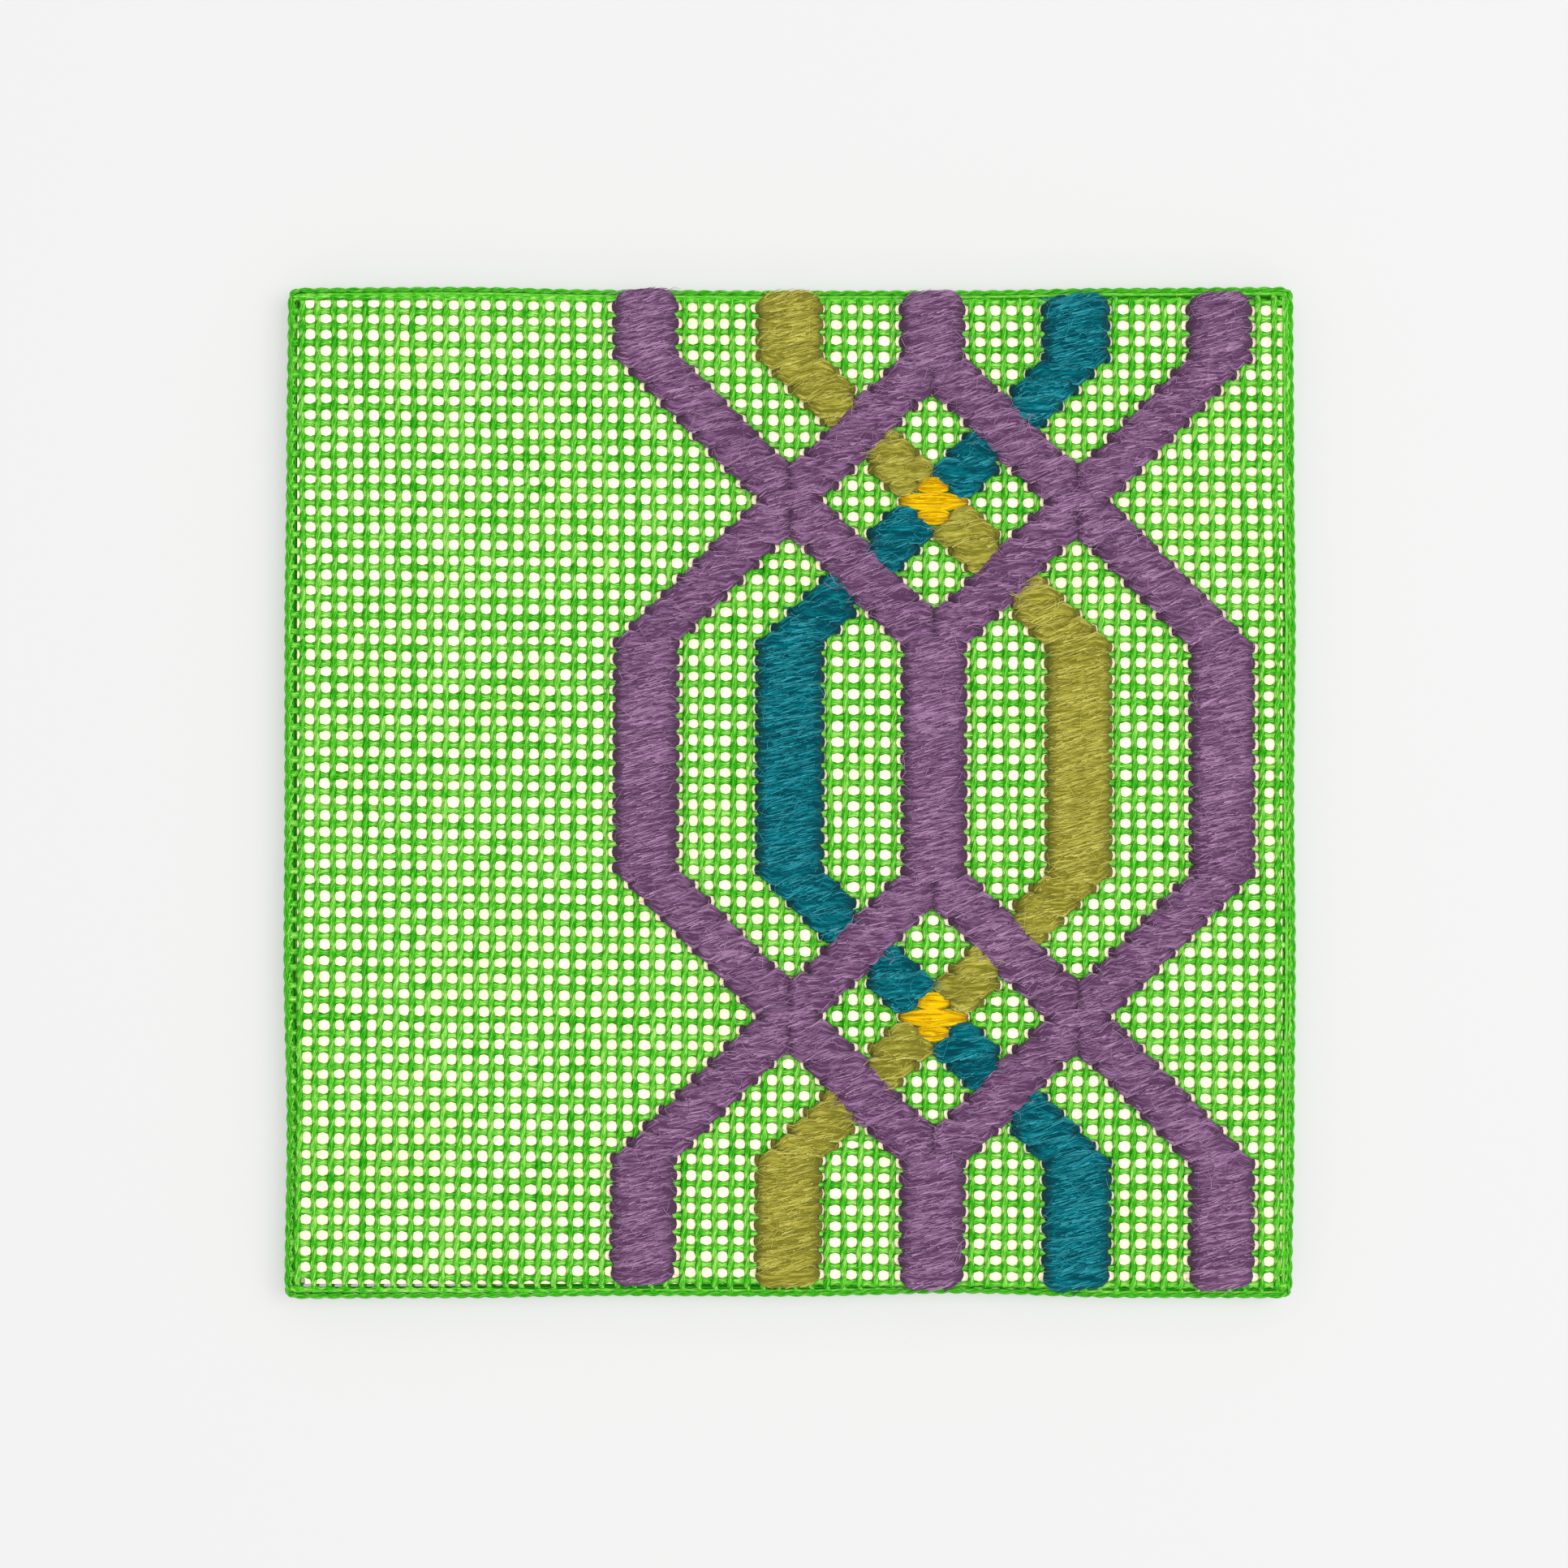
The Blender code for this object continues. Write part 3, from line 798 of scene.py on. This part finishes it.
def boardMaterial():
    # paper with a warm mottle, a fine grain and painted light: a faint glow, though the paper is no lamp
    material = bpy.data.materials.new("whiteBoard")
    material.use_nodes = True
    nodes = material.node_tree.nodes
    links = material.node_tree.links
    shader = nodes["Principled BSDF"]
    shader.inputs["Roughness"].default_value = board["roughness"]
    shader.inputs["Specular IOR Level"].default_value = board["gloss"]
    # painted light: the paper glows cream
    shader.inputs["Emission Color"].default_value = linear(*board["paintedGlowColour"])
    shader.inputs["Emission Strength"].default_value = board["paintedGlow"]
    coordinates = nodes.new("ShaderNodeTexCoord")
    mottle = nodes.new("ShaderNodeTexNoise")
    mottle.inputs["Scale"].default_value = board["mottle"]
    mottle.inputs["Detail"].default_value = 4.0
    links.new(coordinates.outputs["Object"], mottle.inputs["Vector"])
    ramp = nodes.new("ShaderNodeValToRGB")
    ramp.color_ramp.elements[0].position = board["mottleRange"][0]
    ramp.color_ramp.elements[0].color = linear(*board["warm"])
    ramp.color_ramp.elements[1].position = board["mottleRange"][1]
    ramp.color_ramp.elements[1].color = linear(*board["face"])
    links.new(mottle.outputs["Fac"], ramp.inputs["Fac"])
    links.new(ramp.outputs["Color"], shader.inputs["Base Color"])
    grain = nodes.new("ShaderNodeTexNoise")
    grain.inputs["Scale"].default_value = board["grain"]
    links.new(coordinates.outputs["Object"], grain.inputs["Vector"])
    bump = nodes.new("ShaderNodeBump")
    bump.inputs["Strength"].default_value = board["grainBump"]
    bump.inputs["Distance"].default_value = board["grainDepth"]
    links.new(grain.outputs["Fac"], bump.inputs["Height"])
    links.new(bump.outputs["Normal"], shader.inputs["Normal"])
    return material


# Camera, lights and floor
studio = {
    "frameWidth": 248.4 * mm,         # seen at the height of the cloth
    "aim": (-1.09 * mm, 1.48 * mm),
    "lens": 85.0,                     # millimetres, on a sensor 36 wide
    "sensor": 36.0,
    "floor": (188, 187, 187),
    "floorSize": 1.5,                 # metres from its middle to an edge
    "floorRoughness": 0.9,
    "floorGloss": 0.1,
    "floorGlow": 0.28,                # keeps the shadow on it as pale as in the photo
    "sky": 0.600,
    "overheadPower": 10.1,
    "overheadSize": 0.6,
    "overheadHeight": 1.6,
    "keyPower": 14.7,
    "keySize": 1.44,
    "keyPlace": (1.0, 0.2, 1.76),
}


def makeStudio():
    # the camera looks straight down from the middle, on a pale floor with two soft lights
    scene = bpy.context.scene
    scene.view_settings.view_transform = "Standard"
    scene.view_settings.look = "None"
    camera = bpy.data.cameras.new("camera")
    camera.lens = studio["lens"]
    camera.sensor_width = studio["sensor"]
    distance = studio["frameWidth"] * camera.lens / camera.sensor_width
    camera.clip_start = 0.01
    holder = bpy.data.objects.new("camera", camera)
    holder.location = (*studio["aim"], panel["height"] + distance)
    bpy.context.collection.objects.link(holder)
    scene.camera = holder

    bm = bmesh.new()
    bmesh.ops.create_grid(bm, x_segments=1, y_segments=1, size=studio["floorSize"])
    mesh = bpy.data.meshes.new("floor")
    bm.to_mesh(mesh)
    bm.free()
    floor = bpy.data.objects.new("floor", mesh)
    bpy.context.collection.objects.link(floor)
    material = bpy.data.materials.new("paleFloor")
    material.use_nodes = True
    shader = material.node_tree.nodes["Principled BSDF"]
    shader.inputs["Base Color"].default_value = linear(*studio["floor"])
    shader.inputs["Roughness"].default_value = studio["floorRoughness"]
    shader.inputs["Specular IOR Level"].default_value = studio["floorGloss"]
    shader.inputs["Emission Color"].default_value = (1.0, 1.0, 1.0, 1.0)
    shader.inputs["Emission Strength"].default_value = studio["floorGlow"]
    mesh.materials.append(material)

    world = bpy.data.worlds.new("softSky")
    scene.world = world
    world.use_nodes = True
    world.node_tree.nodes["Background"].inputs["Color"].default_value = (1.0, 1.0, 1.0, 1.0)
    world.node_tree.nodes["Background"].inputs["Strength"].default_value = studio["sky"]
    addSoftbox("keyLight", studio["keyPower"], studio["keySize"], studio["keyPlace"])
    addSoftbox("overheadLight", studio["overheadPower"], studio["overheadSize"],
               (0.0, 0.0, studio["overheadHeight"]))


def addSoftbox(name, power, size, place):
    # a round soft light that faces the panel
    light = bpy.data.lights.new(name, "AREA")
    light.energy = power
    light.shape = "DISK"
    light.size = size
    lamp = bpy.data.objects.new(name, light)
    lamp.location = place
    lamp.rotation_euler = (-math.atan2(place[1], place[2]), math.atan2(place[0], place[2]), 0.0)
    bpy.context.collection.objects.link(lamp)


def main():
    makeStudio()
    print("studio ready")
    weftPiece, strandPieces = makeCanvas()
    print("canvas threads ready")
    woolPieces = makeWool()
    print("wool ready")
    nodes = sorted(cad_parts)
    for piece in (weftPiece, *strandPieces):
        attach(piece, "root")
        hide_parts("canvas")
    for colour, halves in woolPieces.items():
        for piece in halves:
            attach(piece, "root")
            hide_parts(*[node for node in nodes if node.startswith(colour)])
    # The area isn't the cut's own: it is near that of the wefts' threads, which this piece holds alone
    bpy.data.objects["board"].data.materials.clear()
    bpy.data.objects["board"].data.materials.append(boardMaterial())
    print("board ready")


main()
